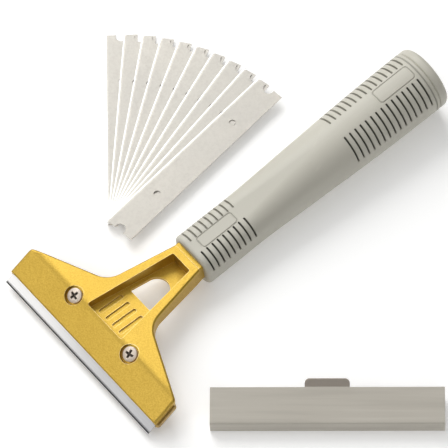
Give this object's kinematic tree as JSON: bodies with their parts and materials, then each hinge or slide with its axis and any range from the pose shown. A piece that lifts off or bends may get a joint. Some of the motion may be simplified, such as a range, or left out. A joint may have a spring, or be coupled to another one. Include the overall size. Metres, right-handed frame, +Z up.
{
  "type": "hand scraper",
  "caption": "Hand scraper: wide blade clamped in a gold cast head, hollow grey grip handle with an end cap, loose blade guard and a fan of ten spare blades.",
  "frame": {"origin": "centre of the bounding box's base, on the ground that the tool, its guard and its spares lie on", "axes": "+Y along the handle from the blade to the end cap, X along the blade, +Z up"},
  "size_m": [0.2552, 0.2086, 0.0327],
  "materials": {
    "gold_paint": "satin",
    "blade_steel": "ground",
    "plate_steel": "satin",
    "screw_nickel": "polished",
    "handle_plastic": "fine grained",
    "inner_steel": "plated",
    "guard_plastic": "satin"
  },
  "bodies": {
    "scraper": {"head_casting": "gold_paint", "blade": "blade_steel", "handle_grip": "handle_plastic", "handle_screw": "inner_steel", "handle_washer": "inner_steel"},
    "clamp": {"clamp_plate": "plate_steel"},
    "screw_left": {"clamp_screw_left": "screw_nickel"},
    "screw_right": {"clamp_screw_right": "screw_nickel"},
    "cap": {"end_cap": "handle_plastic"},
    "spare_stack": {"spare_blade_01": "blade_steel", "spare_blade_02": "blade_steel", "spare_blade_03": "blade_steel", "spare_blade_04": "blade_steel", "spare_blade_05": "blade_steel", "spare_blade_06": "blade_steel", "spare_blade_07": "blade_steel", "spare_blade_08": "blade_steel", "spare_blade_09": "blade_steel", "spare_blade_10": "blade_steel"},
    "guard": {"blade_guard": "guard_plastic"}
  },
  "joints": [
    {"name": "screw_left_turn", "type": "hinge", "parent": "scraper", "child": "screw_left", "pos_m": [-0.02508, -0.08811, 0.01385], "axis": [0, -0.4984, 0.867], "range_deg": [0, 1080]},
    {"name": "screw_right_turn", "type": "hinge", "parent": "scraper", "child": "screw_right", "pos_m": [0.01352, -0.08811, 0.01385], "axis": [0, -0.4984, 0.867], "range_deg": [0, 1080]},
    {"name": "clamp_open", "type": "slide", "parent": "scraper", "child": "clamp", "axis": [0, 0.4984, -0.867], "range_m": [0, 0.0021]},
    {"name": "end_cap_pull", "type": "slide", "parent": "scraper", "child": "cap", "axis": [0, 0.9987, 0.0505], "range_m": [0, 0.07]},
    {"name": "spares_lift", "type": "slide", "parent": "scraper", "child": "spare_stack", "axis": [0, 0, 1], "range_m": [0, 0.06]},
    {"name": "guard_lift", "type": "slide", "parent": "scraper", "child": "guard", "axis": [0, 0, 1], "range_m": [0, 0.06]}
  ],
  "couplings": [
    {"joint": "screw_left_turn", "follows": "clamp_open", "rad_per_m": 8976},
    {"joint": "screw_right_turn", "follows": "clamp_open", "rad_per_m": 8976}
  ]
}
